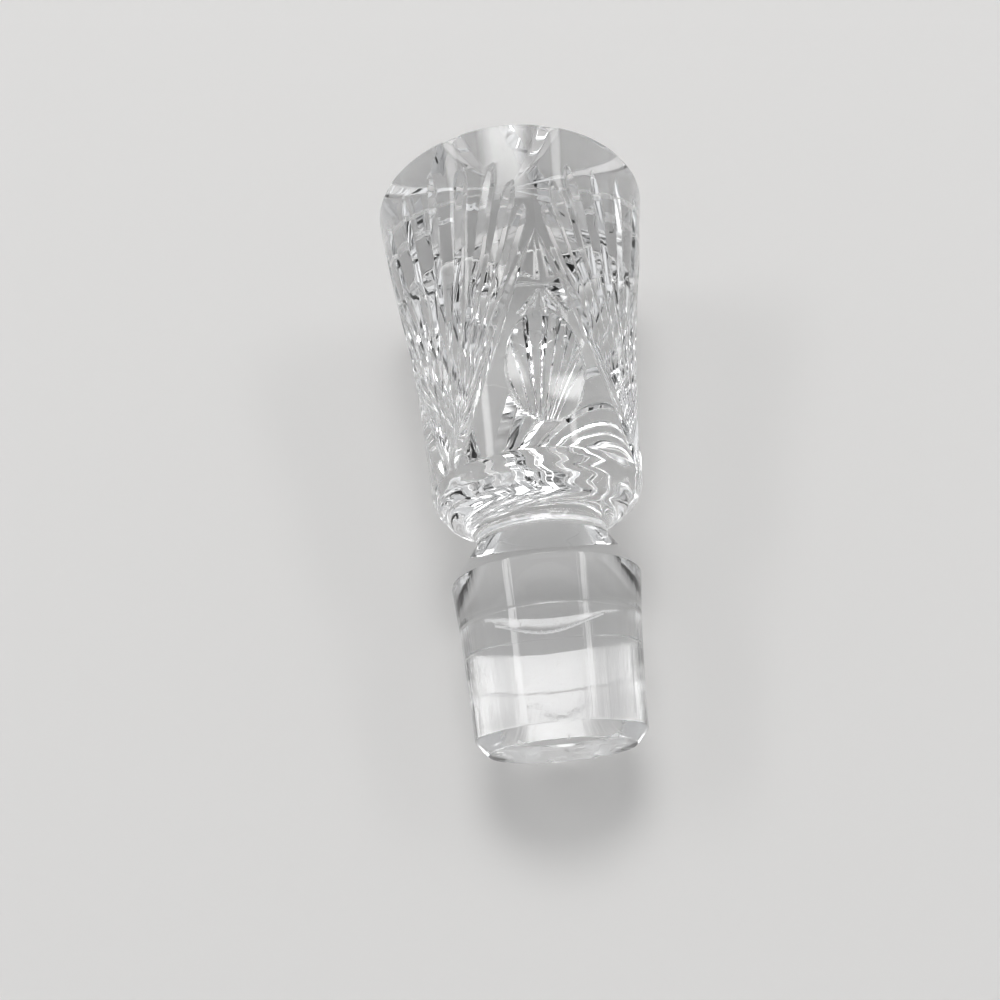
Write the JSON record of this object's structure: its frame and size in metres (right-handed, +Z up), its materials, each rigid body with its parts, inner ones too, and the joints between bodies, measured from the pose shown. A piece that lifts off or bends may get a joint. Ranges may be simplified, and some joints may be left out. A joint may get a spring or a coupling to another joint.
{
  "type": "decanter stopper",
  "caption": "Cut-glass decanter stopper with a tapered ground plug, a narrow neck and a flared body cut with panels, fans and a star in its flat top.",
  "frame": {"origin": "centre of the bounding box's bottom, on the table the stopper lies on", "axes": "+Z up from the table; the stopper lies on its side with its plug towards -Y and its flat top towards +Y, its axis raised 6.7 degrees at the top; +X across"},
  "size_m": [0.045, 0.094, 0.0446],
  "materials": {
    "glass": "clear polished cut crystal, ground flat on the plug's end"
  },
  "bodies": {
    "root": {"stopper": "glass"}
  },
  "joints": []
}
